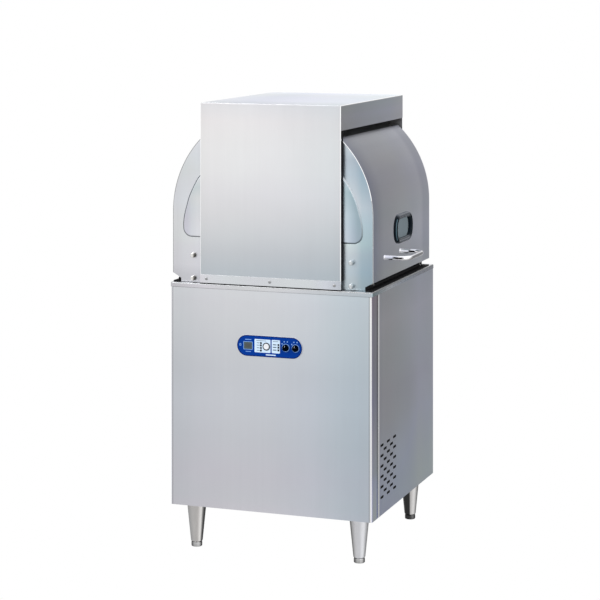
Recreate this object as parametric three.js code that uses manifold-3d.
// Door-type commercial dishwasher: a square cabinet on four legs, with a wash chamber on top whose
// two quarter-drum side doors turn up under a fixed top cover about one front-to-back axis.
// Millimetres. +Z up, +X to the machine's right as seen from the front, -Y is the front.
// The pieces are laid out about the middle of the cabinet, on the floor. The whole group is then
// moved so that the origin is the bottom centre of the machine's bounding box.
import * as THREE from 'three';
import { mergeVertices } from 'three/addons/utils/BufferGeometryUtils.js';
import Module from 'manifold-3d';

const wasm = await Module();
wasm.setup();

// ---------------------------------------------------------------- driving dimensions
const WIDTH = 600; // cabinet width and depth
const HALF = WIDTH / 2;
const LEG_H = 128; // underside of the cabinet above the floor
const DECK = 760; // top of the tank rim above the floor
const SHEET = 1.5; // sheet thickness
const GAP = 0.3; // clearance between neighbouring pieces
const RIM_H = 13; // height of the deck's folded rim
const RIM_HALF = 301.8; // half width of the folded rim
const PANEL_TOP = DECK - RIM_H - 0.5; // top of the cabinet's outer panels
const PANEL_REAR = HALF - 0.2; // rear edge of the outer panels
const OPEN_X = 291; // half width of the tank opening
const OPEN_Y = 256; // half depth of the tank opening
const EQUIPMENT_BASE = LEG_H + 3.5; // pump, motor and booster stand just above the floor plate
const CONTROL_Z = 593.5; // height of the control panel's middle

const TOWER_HALF = 211; // half width of the fascia and top cover
const TOP = 1271; // top of the cover above the floor
const TOWER_FRONT = -299.6;
const TOWER_REAR = 282.7;
const CHAMBER_FRONT = -268; // inner face of the fixed front wall
const CHAMBER_REAR = 258; // inner face of the fixed rear wall

const PIVOT_Z = DECK + 199.5; // the doors' common axis
const PIN_R = 8;
const BORE_R = PIN_R + 0.5;
const R_LEFT = 300; // outer radius of the left (outer) door shell
const R_RIGHT = 297.5; // outer radius of the right (inner) door shell

const DRAIN = [-230, -170]; // x, y of the tank's drain
const PUMP_Z = 230; // height of the pump and motor axis
const SUMP_OUTLET_X = 52;
const ORIGIN_X = 36.42; // bounding box's centre, from the middle of the cabinet
const ORIGIN_Y = 9.675;
const THROUGH_FRONT = [-310, -290]; // y range of cutters that pass through the front sheets

// ---------------------------------------------------------------- materials
const FINISH = {
  steel: { color: 0xc9ccd1, roughness: 0.36, metalness: 1 },
  steelDark: { color: 0x8f9297, roughness: 0.4, metalness: 1 },
  steelBright: { color: 0xdfe2e6, roughness: 0.25, metalness: 1 },
  overflowSteel: { color: 0xd8dade, roughness: 0.3, metalness: 1 },
  drainPlastic: { color: 0x8a8d90, roughness: 0.6, metalness: 0 },
  fasciaSteel: { color: 0xdfe1e4, roughness: 0.4, metalness: 1 },
  handleChrome: { color: 0xf0f2f4, roughness: 0.08, metalness: 1 },
  windowFrame: { color: 0x14181f, roughness: 0.22, metalness: 0 },
  windowPane: { color: 0x75828a, roughness: 0.08, metalness: 0 },
  crosshead: { color: 0x6f7276, roughness: 0.5, metalness: 1 },
  spring: { color: 0x9a9da1, roughness: 0.35, metalness: 1 },
  pump: { color: 0x3c4046, roughness: 0.55, metalness: 0 },
  motor: { color: 0x4f6f8a, roughness: 0.5, metalness: 0.2 },
  electricalBox: { color: 0xaeb2b8, roughness: 0.5, metalness: 0.5 },
  controlBlue: { color: 0x1f4fa8, roughness: 0.3, metalness: 0 },
  display: { color: 0x8b8a80, roughness: 0.2, metalness: 0 },
  button: { color: 0xeef1f4, roughness: 0.35, metalness: 0 },
  knob: { color: 0x15181d, roughness: 0.35, metalness: 0 },
};

// ---------------------------------------------------------------- solids
function toSolid(source) {
  let geometry = source.clone();
  // vertices only merge where every attribute agrees, so all but position go
  geometry.deleteAttribute('normal');
  geometry.deleteAttribute('uv');
  geometry = mergeVertices(geometry, 1e-4);
  return new wasm.Manifold(new wasm.Mesh({
    numProp: 3,
    vertProperties: new Float32Array(geometry.attributes.position.array),
    triVerts: new Uint32Array(geometry.index.array),
  }));
}

function toGeometry(solid) {
  const mesh = solid.getMesh();
  const geometry = new THREE.BufferGeometry();
  const positions = new Float32Array(mesh.vertProperties);
  geometry.setAttribute('position', new THREE.BufferAttribute(positions, 3));
  geometry.setIndex(new THREE.BufferAttribute(new Uint32Array(mesh.triVerts), 1));
  return geometry;
}

const join = (...solids) => solids.reduce((whole, part) => whole.add(part));
const cut = (body, ...tools) => tools.reduce((rest, tool) => rest.subtract(tool), body);

// axis-aligned block between two corners
function block(x0, x1, y0, y1, z0, z1) {
  const geometry = new THREE.BoxGeometry(x1 - x0, y1 - y0, z1 - z0);
  geometry.translate((x0 + x1) / 2, (y0 + y1) / 2, (z0 + z1) / 2);
  return toSolid(geometry);
}

// block centred on the cabinet's middle in x and y
const slab = (halfX, halfY, z0, z1) => block(-halfX, halfX, -halfY, halfY, z0, z1);

// directions of an outline's two coordinates and of its extrusion, for each axis
const BASIS = {
  x: [new THREE.Vector3(0, 1, 0), new THREE.Vector3(0, 0, 1), new THREE.Vector3(1, 0, 0)],
  y: [new THREE.Vector3(1, 0, 0), new THREE.Vector3(0, 0, 1), new THREE.Vector3(0, -1, 0)],
  z: [new THREE.Vector3(1, 0, 0), new THREE.Vector3(0, 1, 0), new THREE.Vector3(0, 0, 1)],
};

// flat outline pushed along an axis: 'x' takes [y, z] points, 'y' takes [x, z], 'z' takes [x, y]
function prism(axis, outline, from, to, holes = []) {
  const toPoints = (pairs) => pairs.map((pair) => new THREE.Vector2(...pair));
  const shape = new THREE.Shape(toPoints(outline));
  for (const hole of holes) shape.holes.push(new THREE.Path(toPoints(hole)));
  const options = { depth: to - from, bevelEnabled: false, steps: 1 };
  const geometry = new THREE.ExtrudeGeometry(shape, options);
  // the 'y' basis extrudes towards -Y, so it starts at the far end
  geometry.translate(0, 0, axis === 'y' ? -to : from);
  geometry.applyMatrix4(new THREE.Matrix4().makeBasis(...BASIS[axis]));
  return toSolid(geometry);
}

const radians = (degrees) => (degrees * Math.PI) / 180;

// In the outlines below, (across, up) is the centre in the outline's own two coordinates.
function arc(across, up, radius, fromDeg, toDeg, steps) {
  return Array.from({ length: steps + 1 }, (_, i) => {
    const angle = radians(fromDeg + ((toDeg - fromDeg) * i) / steps);
    return [across + radius * Math.cos(angle), up + radius * Math.sin(angle)];
  });
}

function circle(across, up, radius, segments) {
  return arc(across, up, radius, 0, 360 - 360 / segments, segments - 1);
}

// rounded rectangle, counter-clockwise
function rounded(across, up, width, height, radius, steps) {
  const halfW = width / 2 - radius;
  const halfH = height / 2 - radius;
  return [
    ...arc(across + halfW, up - halfH, radius, -90, 0, steps),
    ...arc(across + halfW, up + halfH, radius, 0, 90, steps),
    ...arc(across - halfW, up + halfH, radius, 90, 180, steps),
    ...arc(across - halfW, up - halfH, radius, 180, 270, steps),
  ];
}

// outline as drawn for the right side (side 1), or its mirror image for the left (side -1)
function mirror(side, outline) {
  return side > 0 ? outline : outline.map(([x, other]) => [-x, other]).reverse();
}

// round bar along an axis
function rod(axis, across, up, radius, from, to, segments) {
  return prism(axis, circle(across, up, radius, segments), from, to);
}

// turned piece about a vertical axis; the profile is [radius, height] points
function turned(profile, x, y, segments) {
  const points = profile.map((pair) => new THREE.Vector2(...pair));
  const geometry = new THREE.LatheGeometry(points, segments);
  geometry.rotateX(Math.PI / 2);
  geometry.translate(x, y, 0);
  return toSolid(geometry);
}

// skin over rings of Vector3 with flat ends; flipped reverses every triangle
function loft(rings, flipped = false) {
  const count = rings[0].length;
  const indices = [];
  const triangle = (a, b, c) => indices.push(...(flipped ? [a, c, b] : [a, b, c]));
  for (let i = 0; i + 1 < rings.length; i++) {
    for (let k = 0; k < count; k++) {
      const here = i * count + k;
      const beside = i * count + ((k + 1) % count);
      triangle(here, beside, beside + count);
      triangle(here, beside + count, here + count);
    }
  }
  const last = (rings.length - 1) * count;
  for (let k = 1; k + 1 < count; k++) {
    triangle(0, k + 1, k);
    triangle(last, last + k, last + k + 1);
  }
  const positions = rings.flat().flatMap((point) => point.toArray());
  const geometry = new THREE.BufferGeometry();
  geometry.setAttribute('position', new THREE.Float32BufferAttribute(positions, 3));
  geometry.setIndex(indices);
  return toSolid(geometry);
}

// path through the points, each inner one replaced by short chords on an arc of its bend radius
function bentPath(points, bendRadii) {
  const nodes = points.map((point) => new THREE.Vector3(...point));
  const corners = [nodes[0]];
  bendRadii.forEach((radius, i) => {
    const node = nodes[i + 1];
    const before = node.clone().sub(nodes[i]).normalize();
    const after = nodes[i + 2].clone().sub(node).normalize();
    const turn = before.angleTo(after);
    const setback = radius * Math.tan(turn / 2);
    const start = node.clone().addScaledVector(before, -setback);
    const end = node.clone().addScaledVector(after, setback);
    const inward = after.clone().sub(before).normalize();
    const centre = node.clone().addScaledVector(inward, radius / Math.cos(turn / 2));
    const startSpoke = start.clone().sub(centre);
    const endSpoke = end.clone().sub(centre);
    const sweep = startSpoke.angleTo(endSpoke);
    const axis = startSpoke.clone().cross(endSpoke).normalize();
    const chords = Math.max(2, Math.ceil(sweep / radians(22.5)));
    corners.push(start);
    for (let k = 1; k <= chords; k++) {
      const spoke = startSpoke.clone().applyAxisAngle(axis, (sweep * k) / chords);
      corners.push(centre.clone().add(spoke));
    }
  });
  corners.push(nodes[nodes.length - 1]);
  return corners;
}

// round section swept along a bent path
function bar(points, bendRadii, radius, segments) {
  const corners = bentPath(points, bendRadii);
  let normal = null;
  // each ring lies in the plane that halves its corner
  const rings = corners.map((corner, i) => {
    const tangent = new THREE.Vector3();
    if (i > 0) tangent.add(corner.clone().sub(corners[i - 1]).normalize());
    if (i < corners.length - 1) tangent.add(corners[i + 1].clone().sub(corner).normalize());
    tangent.normalize();
    if (!normal) {
      const steep = Math.abs(tangent.z) >= 0.9;
      normal = steep ? new THREE.Vector3(1, 0, 0) : new THREE.Vector3(0, 0, 1);
    }
    // the previous ring's normal is carried on, so that the sweep does not twist
    const first = normal.clone().addScaledVector(tangent, -normal.dot(tangent)).normalize();
    const second = tangent.clone().cross(first);
    normal = first;
    return Array.from({ length: segments }, (_, k) => {
      const angle = (2 * Math.PI * k) / segments;
      return corner.clone()
        .addScaledVector(first, radius * Math.cos(angle))
        .addScaledVector(second, radius * Math.sin(angle));
    });
  });
  return loft(rings);
}

const group = new THREE.Group();
function piece(name, solid, finish) {
  const mesh = new THREE.Mesh(toGeometry(solid), new THREE.MeshStandardMaterial(finish));
  mesh.name = name;
  group.add(mesh);
}

// ================================================================ cabinet
// welded chassis: open channel round the base, a floor plate, four corner angles
function chassis() {
  const wall = 2;
  const [halfX, halfY, inner] = [292.5, 297.8, 217];
  const ring = cut(slab(halfX, halfY, LEG_H, LEG_H + 34), slab(inner, inner, 100, 200));
  const trough = cut(slab(halfX - wall, halfY - wall, LEG_H + wall, 200),
    slab(inner + wall, inner + wall, 100, 210));
  const plate = block(-217.5, 217.5, -80, 217.5, LEG_H, LEG_H + 3);
  let body = join(cut(ring, trough), plate);
  const [edge, inside, outside] = [262, 294, 296.5];
  const angle = [
    [edge, outside], [edge, inside], [inside, inside],
    [inside, edge], [outside, edge], [outside, outside],
  ];
  for (const sideX of [-1, 1]) {
    for (const sideY of [-1, 1]) {
      const outline = angle.map(([x, y]) => [sideX * x, sideY * y]);
      body = join(body, prism('z', outline, LEG_H + 1, 742));
    }
  }
  return body;
}
piece('chassis', chassis(), FINISH.steelDark);

// front panel: one sheet folded back round both sides, with the control panel's opening
function frontPanel() {
  const returnEnd = -247.5;
  const outline = [
    [-HALF, -HALF], [HALF, -HALF], [HALF, returnEnd], [HALF - SHEET, returnEnd],
    [HALF - SHEET, -HALF + SHEET], [-HALF + SHEET, -HALF + SHEET],
    [-HALF + SHEET, returnEnd], [-HALF, returnEnd],
  ];
  const opening = prism('y', rounded(0, CONTROL_Z, 176, 42, 20.9, 5), ...THROUGH_FRONT);
  return cut(prism('z', outline, LEG_H, PANEL_TOP), opening);
}
piece('front_panel', frontPanel(), FINISH.steel);

// side sheet, its front edge turned in behind the corner
function sidePanel(side) {
  const front = -244.5;
  const turnIn = HALF - 7;
  const outline = [
    [HALF - SHEET, PANEL_REAR], [HALF - SHEET, front + SHEET], [turnIn, front + SHEET],
    [turnIn, front], [HALF, front], [HALF, PANEL_REAR],
  ];
  return prism('z', mirror(side, outline), LEG_H, PANEL_TOP);
}

// five staggered columns of cooling slots low at the front of the right side
function coolingSlots() {
  const [pitchY, pitchZ] = [29.5, 28.9];
  const slots = [];
  for (let column = 0; column < 5; column++) {
    const odd = column % 2 === 1;
    for (let row = 0; row < (odd ? 5 : 6); row++) {
      const y = -210 + column * pitchY;
      const z = 322 - (odd ? pitchZ / 2 : 0) - row * pitchZ;
      slots.push(prism('x', rounded(y, z, 27, 6.5, 3.2, 1), 290, 310));
    }
  }
  return slots;
}
piece('side_panel_right', cut(sidePanel(1), ...coolingSlots()), FINISH.steelDark);
piece('side_panel_left', sidePanel(-1), FINISH.steelDark);

// rear panel with outlets for the drain, the water inlet and the power cable
function rearPanel() {
  // x, z, radius, segments
  const outlets = [[-240, 195, 28, 16], [120, 205, 15, 12], [200, 205, 12, 12]];
  return cut(block(-298.2, 298.2, PANEL_REAR - SHEET, PANEL_REAR, LEG_H + 0.5, PANEL_TOP),
    ...outlets.map(([x, z, radius, segments]) => rod('y', x, z, radius, 290, 310, segments)));
}
piece('rear_panel', rearPanel(), FINISH.steelDark);

// screws through the fascia strip, the fascia and the deck's front upstand
const SCREW_X = { left: -191, centre: 0, right: 191 };
const SCREW_Z = DECK + 14;
const screwHoles = () =>
  Object.values(SCREW_X).map((x) => rod('y', x, SCREW_Z, 2.6, ...THROUGH_FRONT, 8));

// deck: folded rim, ledges front and rear, a flange down into the tank, upstands for the tower
function deck() {
  const inside = RIM_HALF - SHEET;
  const rim = cut(slab(RIM_HALF, RIM_HALF, DECK - RIM_H, DECK),
    slab(inside, inside, DECK - RIM_H - 5, DECK - SHEET));
  const flange = slab(OPEN_X + SHEET, OPEN_Y + SHEET, DECK - 24, DECK - 0.5);
  const upstand = (y0, y1) => block(-203, 203, y0, y1, DECK - 0.5, DECK + 20);
  const opening = slab(OPEN_X, OPEN_Y, DECK - 50, DECK + 5);
  return cut(join(rim, flange, upstand(-297.6, -296.4), upstand(277.2, 278.6)),
    opening, ...screwHoles());
}
piece('deck', deck(), FINISH.steelBright);

// wash tank with a central sump
function washTank() {
  const [halfX, halfY] = [OPEN_X - 0.5, OPEN_Y - 0.5];
  const [sumpX, sumpY] = [120, 100];
  const outside = join(slab(halfX, halfY, 560, 750), slab(sumpX, sumpY, 500, 562));
  const inside = join(slab(halfX - SHEET, halfY - SHEET, 560 + SHEET, 760),
    slab(sumpX - SHEET, sumpY - SHEET, 500 + SHEET, 570));
  return cut(outside, inside, rod('z', ...DRAIN, 21, 550, 570, 24),
    rod('z', SUMP_OUTLET_X, 0, 21, 490, 510, 24));
}
piece('wash_tank', washTank(), FINISH.steelDark);

// flat strainer over the sump, with a hole for the hub and one for the overflow pipe
function tankStrainer() {
  const slots = [];
  for (let row = 0; row < 8; row++) {
    const y = -182 + row * 52;
    for (const x of [-120, 120]) slots.push(block(x - 60, x + 60, y - 3, y + 3, 730, 740));
  }
  return cut(slab(285, 250, 733, 735), ...slots,
    rod('z', 0, 0, 27, 730, 740, 24), rod('z', ...DRAIN, 22.5, 730, 740, 24));
}
piece('tank_strainer', tankStrainer(), FINISH.steelBright);

// standing overflow pipe: lifts straight out of the tank's drain
const OVERFLOW_PROFILE = [
  [16, 552], [18.5, 552], [18.5, 560.5], [18.5, 738], [21, 741],
  [21, 746], [0, 746], [0, 743], [16, 743], [16, 552],
];
piece('overflow_pipe', turned(OVERFLOW_PROFILE, ...DRAIN, 20), FINISH.overflowSteel);

// drain pipe: socket under the overflow pipe, then down and out through the rear panel
function drainPipe() {
  const run = (top, end, radius) => bar(
    [[...DRAIN, top], [...DRAIN, 400], [-262, -100, 195], [-262, 150, 195], end],
    [50, 60, 60], radius, 8);
  const outside = run(548, [-236, 330, 195], 18);
  const bore = run(560, [-234.556, 340, 195], 15);
  const socket = cut(rod('z', ...DRAIN, 27, 545, 559.6, 24),
    rod('z', ...DRAIN, 19.2, 550.5, 570, 24));
  return cut(join(outside, socket), bore);
}
piece('drain_pipe', drainPipe(), FINISH.drainPlastic);

// legs: cast tapered legs with a bored end, and screw-in feet
const LEG_PROFILE = [
  [0, 76], [6.8, 76], [6.8, 14.4], [14.8, 14.4], [17, 18],
  [27.2, 120], [27.2, LEG_H - GAP], [0, LEG_H - GAP],
];
const FOOT_PROFILE = [
  [0, 0], [14, 0], [15.6, 2], [15.6, 12], [13, 14], [6, 14], [6, 70], [0, 70],
];
for (const [nameY, y] of [['front', -243.5], ['rear', 243.5]]) {
  for (const [nameX, x] of [['left', -244.6], ['right', 244.6]]) {
    piece(`leg_${nameY}_${nameX}`, turned(LEG_PROFILE, x, y, 18), FINISH.steelBright);
    piece(`foot_${nameY}_${nameX}`, turned(FOOT_PROFILE, x, y, 12), FINISH.steel);
  }
}

// ================================================================ tower
// fascia: tall front sheet with its side edges turned back
function fascia() {
  const back = TOWER_FRONT + SHEET;
  const edgeBack = TOWER_FRONT + 3.4;
  const edgeInside = TOWER_HALF - 1.2;
  const outline = [
    [-TOWER_HALF, TOWER_FRONT], [TOWER_HALF, TOWER_FRONT], [TOWER_HALF, edgeBack],
    [edgeInside, edgeBack], [edgeInside, back],
    [-edgeInside, back], [-edgeInside, edgeBack], [-TOWER_HALF, edgeBack],
  ];
  // the turned edges stop short of the top
  const topRelief = block(-215, 215, back + 0.05, -290, TOP - 5, TOP + 1);
  return cut(prism('z', outline, DECK + 2, TOP), ...screwHoles(), topRelief);
}
piece('fascia', fascia(), FINISH.fasciaSteel);

// strip across the foot of the fascia, with its three screws
const STRIP_FRONT = -301.4;
const strip = block(-210.8, 210.8, STRIP_FRONT, TOWER_FRONT - GAP, DECK + 1.6, DECK + 26);
piece('fascia_strip', cut(strip, ...screwHoles()), FINISH.steelBright);
for (const [name, x] of Object.entries(SCREW_X)) {
  const head = rod('y', x, SCREW_Z, 4.4, -303.2, STRIP_FRONT - GAP, 12);
  const shank = rod('y', x, SCREW_Z, 2, -302, -290, 8);
  piece(`strip_screw_${name}`, join(head, shank), FINISH.steelBright);
}

// top cover: lid with deep side flanges and a shallow rear flange
function topCover() {
  const front = -297.7;
  const bottom = TOP - 70;
  const below = bottom - 5;
  const beyond = TOWER_HALF + 5;
  const inside = TOWER_HALF - SHEET;
  const rearInside = TOWER_REAR - SHEET;
  return cut(block(-TOWER_HALF, TOWER_HALF, front, TOWER_REAR, bottom, TOP),
    block(-inside, inside, front - 5, rearInside, below, TOP - SHEET),
    // the rear flange is shortened, and the side flanges stand back from the fascia
    block(-beyond, beyond, rearInside - 0.1, TOWER_REAR + 5, below, TOP - 32),
    block(-beyond, beyond, front - 1, -295.9, below, TOP - SHEET - 2));
}
piece('top_cover', topCover(), FINISH.steelDark);

// rear cover: closes the back of the tower, tucked under the top cover's rear flange
piece('tower_rear_cover', block(-209, 209, 279.1, 280.6, DECK + GAP, TOP - 3), FINISH.steelDark);

// fixed chamber: front and rear walls joined by a curved ceiling
function chamberFrame() {
  const outerR = 285.5;
  const half = 204;
  const edgeDeg = (Math.acos(half / outerR) * 180) / Math.PI;
  const top = arc(0, PIVOT_Z, outerR, edgeDeg, 180 - edgeDeg, 18);
  const underside = arc(0, PIVOT_Z, outerR - SHEET, 180 - edgeDeg, edgeDeg, 18);
  const outline = [[-half, DECK + GAP], [half, DECK + GAP], ...top];
  const wall = (y) => prism('y', outline, y, y + SHEET, [circle(0, PIVOT_Z, BORE_R, 16)]);
  const ceiling = prism('y', [...top, ...underside], CHAMBER_FRONT - 1, CHAMBER_REAR + 1);
  return join(wall(CHAMBER_FRONT - SHEET), wall(CHAMBER_REAR), ceiling);
}
piece('chamber_frame', chamberFrame(), FINISH.steel);

// pivot pins: the doors turn on these, one at the front wall and one at the rear
function pivotPin(headRange, shankRange) {
  return join(rod('y', 0, PIVOT_Z, 17, ...headRange, 16),
    rod('y', 0, PIVOT_Z, PIN_R, ...shankRange, 16));
}
piece('pivot_pin_front',
  pivotPin([CHAMBER_FRONT + GAP, CHAMBER_FRONT + 3], [-297, CHAMBER_FRONT + 1]),
  FINISH.steelBright);
piece('pivot_pin_rear',
  pivotPin([CHAMBER_REAR - 3, CHAMBER_REAR - GAP], [CHAMBER_REAR - 1, 278]),
  FINISH.steelBright);

// ================================================================ doors
// front and rear are the shell's ends in y; sector is the y range of the cable sector;
// studFront is the y of the stud heads' front faces
const DOORS = {
  right: {
    side: 1, radius: R_RIGHT, front: -282, rear: 267.5, sector: [-281, -271], studFront: -293.5,
  },
  left: {
    side: -1, radius: R_LEFT, front: -287.5, rear: 272, sector: [-296.5, -287], studFront: -296.8,
  },
};
const DOOR_TOP_DEG = 48; // angle of the doors' top edges above the horizontal
const SHELL_BOTTOM = DECK + 25;
const STUD_X = 236;
const STUD_Z = { upper: DECK + 77, lower: DECK + 12 };
const WINDOW_Y = -17;
const WINDOW_Z = DECK + 147;

const windowOutline = (width, height, radius, steps) =>
  rounded(WINDOW_Y, WINDOW_Z, width, height, radius, steps);

// pressed panel of the front plates, right door: x, z
const PRESSED_PANEL = [
  [190, DECK + 130], [241, DECK + 130], ...arc(241, DECK + 155, 25, -84, -6, 5),
  [266, DECK + 166], [263, DECK + 191], [257, DECK + 214], [251, DECK + 236],
  [242, DECK + 258], [231, DECK + 280], [222, DECK + 297], [211, DECK + 309],
  [190, DECK + 326],
];

// shell: quarter-drum sheet running down into a flat side
function doorShell({ side, radius, front, rear }) {
  const inside = radius - SHEET;
  const outline = [
    ...arc(0, PIVOT_Z, radius, 0, DOOR_TOP_DEG, 16),
    ...arc(0, PIVOT_Z, inside, DOOR_TOP_DEG, 0, 16),
    [inside, SHELL_BOTTOM], [radius, SHELL_BOTTOM],
  ];
  return prism('y', mirror(side, outline), front, rear);
}

// end plate: outer part closes the drum, an arm carries it on the pivot pin
function doorPlate({ side, radius }, y) {
  const edge = radius - SHEET - GAP;
  const outline = [
    ...arc(0, PIVOT_Z, 46, 120, 300, 9),
    [200, PIVOT_Z - 102], [206, DECK + 0.5], [279, DECK + 0.5], [279, DECK + 12],
    [edge, SHELL_BOTTOM + 0.3],
    ...arc(0, PIVOT_Z, edge, 0, DOOR_TOP_DEG - 0.3, 16),
    [150, PIVOT_Z + 205], [60, PIVOT_Z + 60],
  ];
  return prism('y', mirror(side, outline), y, y + SHEET, [circle(0, PIVOT_Z, BORE_R, 16)]);
}

// front end plate with its pressed panel, 3 mm proud, and the cable sector on the pivot
function doorFrontPlate(door) {
  const { side, front } = door;
  const panel = prism('y', mirror(side, PRESSED_PANEL), front - 3, front + 0.5);
  const sector = cut(rod('y', 0, PIVOT_Z, 38, ...door.sector, 24),
    rod('y', 0, PIVOT_Z, BORE_R, -300, -260, 16));
  const studHoles = Object.values(STUD_Z)
    .map((z) => rod('y', side * STUD_X, z, 3.4, front - 2, front + 5, 8));
  return cut(join(doorPlate(door, front), panel, sector), ...studHoles);
}

// cap stud bolted through the front plate
function doorStud({ side, front, studFront }, z) {
  const headBack = front - GAP;
  return join(rod('y', side * STUD_X, z, 6.8, studFront, headBack, 12),
    rod('y', side * STUD_X, z, 2.8, headBack - 1, front + 4, 8));
}

for (const [name, door] of Object.entries(DOORS)) {
  let shell = doorShell(door);
  if (name === 'right') shell = cut(shell, prism('x', windowOutline(144, 69.5, 32, 5), 290, 305));
  piece(`door_shell_${name}`, shell, FINISH.steelDark);
  piece(`door_plate_front_${name}`, doorFrontPlate(door), FINISH.steel);
  piece(`door_plate_rear_${name}`, doorPlate(door, door.rear - SHEET), FINISH.steelDark);
  for (const [level, z] of Object.entries(STUD_Z)) {
    piece(`door_stud_${level}_${name}`, doorStud(door, z), FINISH.steelBright);
  }
}

// lifting handle: round bar bent to a U, lying level on the right door
function doorHandle() {
  const [inner, outer, z] = [R_RIGHT + GAP, 368, DECK + 84];
  const points = [[inner, -182, z], [outer, -182, z], [outer, -35, z], [inner, -35, z]];
  return bar(points, [25, 25], 7, 10);
}
piece('door_handle', doorHandle(), FINISH.handleChrome);

// window: thick rounded frame, stepped in towards its face, round a pane in the shell's opening
function windowFrame() {
  const back = R_RIGHT + GAP;
  const face = R_RIGHT + 12;
  const step = (back + face) / 2 + 2;
  return join(
    prism('x', windowOutline(158, 83.5, 38, 5), back, step, [windowOutline(130, 55.5, 25, 4)]),
    prism('x', windowOutline(153, 78.5, 35.5, 5), step - 0.5, face,
      [windowOutline(134, 59.5, 27, 4)]));
}
piece('window_frame', windowFrame(), FINISH.windowFrame);
piece('window_pane', prism('x', windowOutline(143, 68.5, 31.5, 5), R_RIGHT - 3, R_RIGHT),
  FINISH.windowPane);

// ================================================================ balance gear behind the fascia
const CROSSHEAD_Z = PIVOT_Z - 70;
const CABLE_X = 40; // the cables' distance from the pivot axis

// crosshead: hangs on a cable from each door's sector, and two springs pull it down
function balanceCrosshead() {
  return join(block(-45, 45, -296.2, -271.4, CROSSHEAD_Z - 7, CROSSHEAD_Z + 7),
    rod('z', CABLE_X, -292, 1.4, CROSSHEAD_Z, PIVOT_Z, 8),
    rod('z', -CABLE_X, -275.5, 1.4, CROSSHEAD_Z, PIVOT_Z, 8));
}
piece('balance_crosshead', balanceCrosshead(), FINISH.crosshead);

// tension spring of square-section wire
function balanceSpring(x) {
  const y = -284;
  const [turns, stepsPerTurn] = [8, 8];
  const [coilR, wireHalf] = [8, 1.2];
  const bottom = DECK + 0.5;
  const rise = CROSSHEAD_Z - 7.3 - bottom - 2 * wireHalf;
  const section = [[-1, -1], [1, -1], [1, 1], [-1, 1]];
  const steps = turns * stepsPerTurn;
  const rings = Array.from({ length: steps + 1 }, (_, i) => {
    const angle = (2 * Math.PI * i) / stepsPerTurn;
    const height = bottom + wireHalf + (rise * i) / steps;
    return section.map(([out, up]) => {
      const radius = coilR + out * wireHalf;
      return new THREE.Vector3(x + radius * Math.cos(angle), y + radius * Math.sin(angle),
        height + up * wireHalf);
    });
  });
  return loft(rings, true);
}
piece('balance_spring_left', balanceSpring(-24), FINISH.spring);
piece('balance_spring_right', balanceSpring(24), FINISH.spring);

// ================================================================ wash and rinse system
// rails that carry the rack from side to side through the chamber
function rackRails() {
  const top = DECK + 16;
  const rail = (y0, y1, webY) => join(block(-284, 284, y0, y1, DECK + 14, top),
    block(-284, 284, webY - 0.75, webY + 0.75, DECK + 8, top));
  let rails = join(rail(-259, -233, -233.75), rail(211, 237, 211.75));
  for (const x of [-150, 150]) {
    rails = join(rails, bar([[x, -236, DECK + 12], [x, 214, DECK + 12]], [], 4, 10));
  }
  // blocks at the front ends, angle brackets at the rear
  for (const x of [-200, 200]) {
    rails = join(rails,
      block(x - 15, x + 15, -266, -257, DECK + 1, top),
      block(x - 15, x + 15, 235, 257, DECK + 14, top),
      block(x - 15, x + 15, 256.2, 257.4, DECK + 1, top));
  }
  // shaves the rear face of the front blocks below the rail
  return cut(rails, block(-500, 500, -257.6, -255, DECK - 5, DECK + 13.5));
}
piece('rack_rails', rackRails(), FINISH.steelBright);

// lower hub: feed column from the tank floor, with the arms' spindle on top
const LOWER_HUB_PROFILE = [
  [0, 562], [34, 562], [34, 568], [22, 572], [22, 744], [7, 746], [7, 769], [0, 769],
];
piece('lower_hub', turned(LOWER_HUB_PROFILE, 0, 0, 16), FINISH.steelBright);

// kind: width, hub radius, nozzle distances from the axis
const ARM_KINDS = {
  wash: { width: 30, hubR: 25, nozzles: [65, 130, 195], finish: FINISH.steelBright },
  rinse: { width: 15, hubR: 15, nozzles: [60, 120, 180], finish: FINISH.steel },
};
// level, kind, bottom z, top z, half length, angle about Z in degrees
const ARMS = [
  ['lower', 'wash', 747.5, 759, 222, 20],
  ['lower', 'rinse', 760.5, 766, 205, 110],
  ['upper', 'wash', 1136, 1147.5, 200, -20],
  ['upper', 'rinse', 1129, 1134.5, 185, 70],
];

// spray arm: tapered at its ends, with nozzle slots on top (lower) or underneath (upper)
function sprayArm(level, kind, bottom, top, length, angle) {
  const { width, hubR, nozzles } = ARM_KINDS[kind];
  const half = width / 2;
  const tip = half * 0.6;
  const shoulder = length - 12;
  const outline = [
    [-length, -tip], [-shoulder, -half], [shoulder, -half], [length, -tip],
    [length, tip], [shoulder, half], [-shoulder, half], [-length, tip],
  ];
  const lower = level === 'lower';
  const slotRange = lower ? [top - 3, top + 1] : [bottom - 1, bottom + 3];
  const spread = lower ? 1 : 0.92; // the upper arms' nozzles sit closer in
  const slots = nozzles.flatMap((distance) => [-1, 1].map((side) => {
    const x = side * distance * spread;
    return block(x - 1.6, x + 1.6, -half * 0.55, half * 0.55, ...slotRange);
  }));
  const body = join(prism('z', outline, bottom, top), rod('z', 0, 0, hubR, bottom, top, 16));
  return cut(body, ...slots, rod('z', 0, 0, 7.5, bottom - 5, top + 5, 12))
    .rotate([0, 0, angle]);
}
for (const [level, kind, ...sizes] of ARMS) {
  piece(`${level}_${kind}_arm`, sprayArm(level, kind, ...sizes), ARM_KINDS[kind].finish);
}

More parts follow.
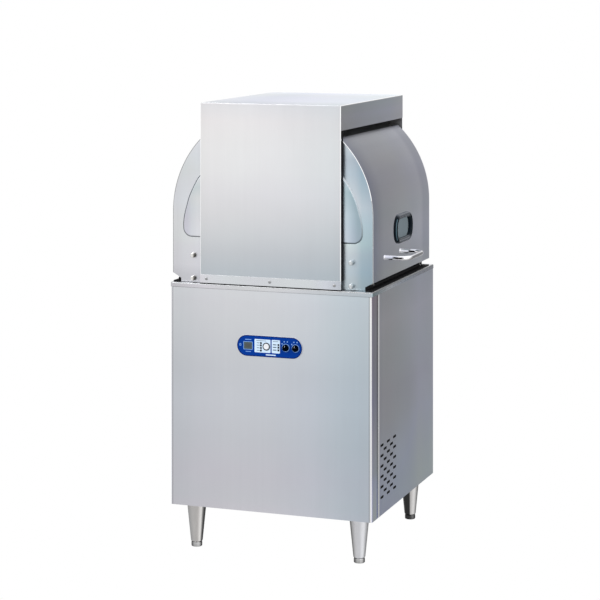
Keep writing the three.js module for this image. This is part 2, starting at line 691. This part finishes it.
// upper manifold: flat duct up the rear wall, feed pipe forward, hub with the arms' spindle
const UPPER_HUB_PROFILE = [
  [0, 1121], [12, 1121], [12, 1126], [7, 1126], [7, 1148.5], [22, 1150], [22, 1185], [0, 1185],
];
function upperManifold() {
  return join(block(-32, 32, 243.5, 255, 752, 1185), rod('y', 0, 1168, 14, 0, 250, 16),
    turned(UPPER_HUB_PROFILE, 0, 0, 16));
}
piece('upper_manifold', upperManifold(), FINISH.steel);

// circulation pump under the sump: round casing, two pipes up and a foot
function washPump() {
  return join(rod('x', 0, PUMP_Z, 68, -58, -14, 24),
    bar([[-20, 0, PUMP_Z], [SUMP_OUTLET_X, 0, PUMP_Z], [SUMP_OUTLET_X, 0, 499.2]], [50], 20, 10),
    bar([[-36, 40, PUMP_Z], [-36, 40, 420], [-20, 60, 490]], [40], 14, 8),
    block(-52, -20, -40, 40, EQUIPMENT_BASE, 200));
}
piece('wash_pump', washPump(), FINISH.pump);

// motor on the pump's left: barrel with a foot, a box on top and a collar near each end
function pumpMotor() {
  return join(rod('x', 0, PUMP_Z, 56, -238, -58.6, 20),
    block(-215, -85, -45, 45, EQUIPMENT_BASE, 190), block(-190, -110, -30, 30, 270, 312),
    ...[-226, -70].map((x) => rod('x', 0, PUMP_Z, 60, x - 6, x + 6, 20)));
}
piece('pump_motor', pumpMotor(), FINISH.motor);

// hot-rinse booster tank: a pressed shell with its outlet on top
const BOOSTER_PROFILE = [
  [0, EQUIPMENT_BASE], [60, EQUIPMENT_BASE], [60, 150], [84, 158], [84, 420], [70, 440],
  [24, 448], [24, 470], [18, 470], [18, 446], [68.5, 437.5], [82, 419], [82, 159.5],
  [58, 151.5], [0, 151.5],
];
piece('booster_tank', turned(BOOSTER_PROFILE, 125, 125, 18), FINISH.steelBright);

// electrical box behind the lower front panel: a case with a cable entry, raised lid at its rear
function electricalBox() {
  const body = join(block(40, 250, -290, -180, 210, 420), block(60, 230, -180.5, -172, 230, 400));
  return cut(body, block(41.5, 248.5, -288.5, -181.5, 211.5, 418.5),
    rod('z', 80, -235, 14, 200, 215, 12));
}
piece('electrical_box', electricalBox(), FINISH.electricalBox);

// ================================================================ control panel
const CONTROL_FACE = -303.2;
const BUTTON_X = -9;
const KNOB_X = { left: 48.6, right: 77.5 };

// block in the display's window, smaller than the recess by a margin all round
const displayBlock = (margin, y0, y1) => block(-76.5 + margin, -51.5 - margin, y0, y1,
  CONTROL_Z - 10 + margin, CONTROL_Z + 10 - margin);

function controlPanel() {
  return cut(prism('y', rounded(0, CONTROL_Z, 194, 58.5, 29.2, 8), CONTROL_FACE, -HALF - GAP),
    displayBlock(0, CONTROL_FACE - 1, CONTROL_FACE + 1.4),
    rod('y', BUTTON_X, CONTROL_Z, 8.7, ...THROUGH_FRONT, 16),
    ...Object.values(KNOB_X).map((x) => rod('y', x, CONTROL_Z, 3.5, ...THROUGH_FRONT, 10)));
}
piece('control_panel', controlPanel(), FINISH.controlBlue);
piece('display', displayBlock(GAP, CONTROL_FACE - 0.2, CONTROL_FACE + 1.1), FINISH.display);

// start button, with a flange behind the panel
const startButton = join(rod('y', BUTTON_X, CONTROL_Z, 8.2, CONTROL_FACE - 2.6, -294, 16),
  rod('y', BUTTON_X, CONTROL_Z, 9.6, -297.2, -294, 16));
piece('start_button', startButton, FINISH.button);

// selector knob: disc, spindle and an upright grip bar
function selectorKnob(x) {
  return join(rod('y', x, CONTROL_Z, 9, CONTROL_FACE - 8, CONTROL_FACE - GAP, 18),
    rod('y', x, CONTROL_Z, 3, CONTROL_FACE - 1, -294, 10),
    block(x - 1.6, x + 1.6, CONTROL_FACE - 10, CONTROL_FACE - 7, CONTROL_Z - 8, CONTROL_Z + 8));
}
for (const [name, x] of Object.entries(KNOB_X)) {
  piece(`selector_knob_${name}`, selectorKnob(x), FINISH.knob);
}

group.position.set(-ORIGIN_X, -ORIGIN_Y, 0);
export default group;
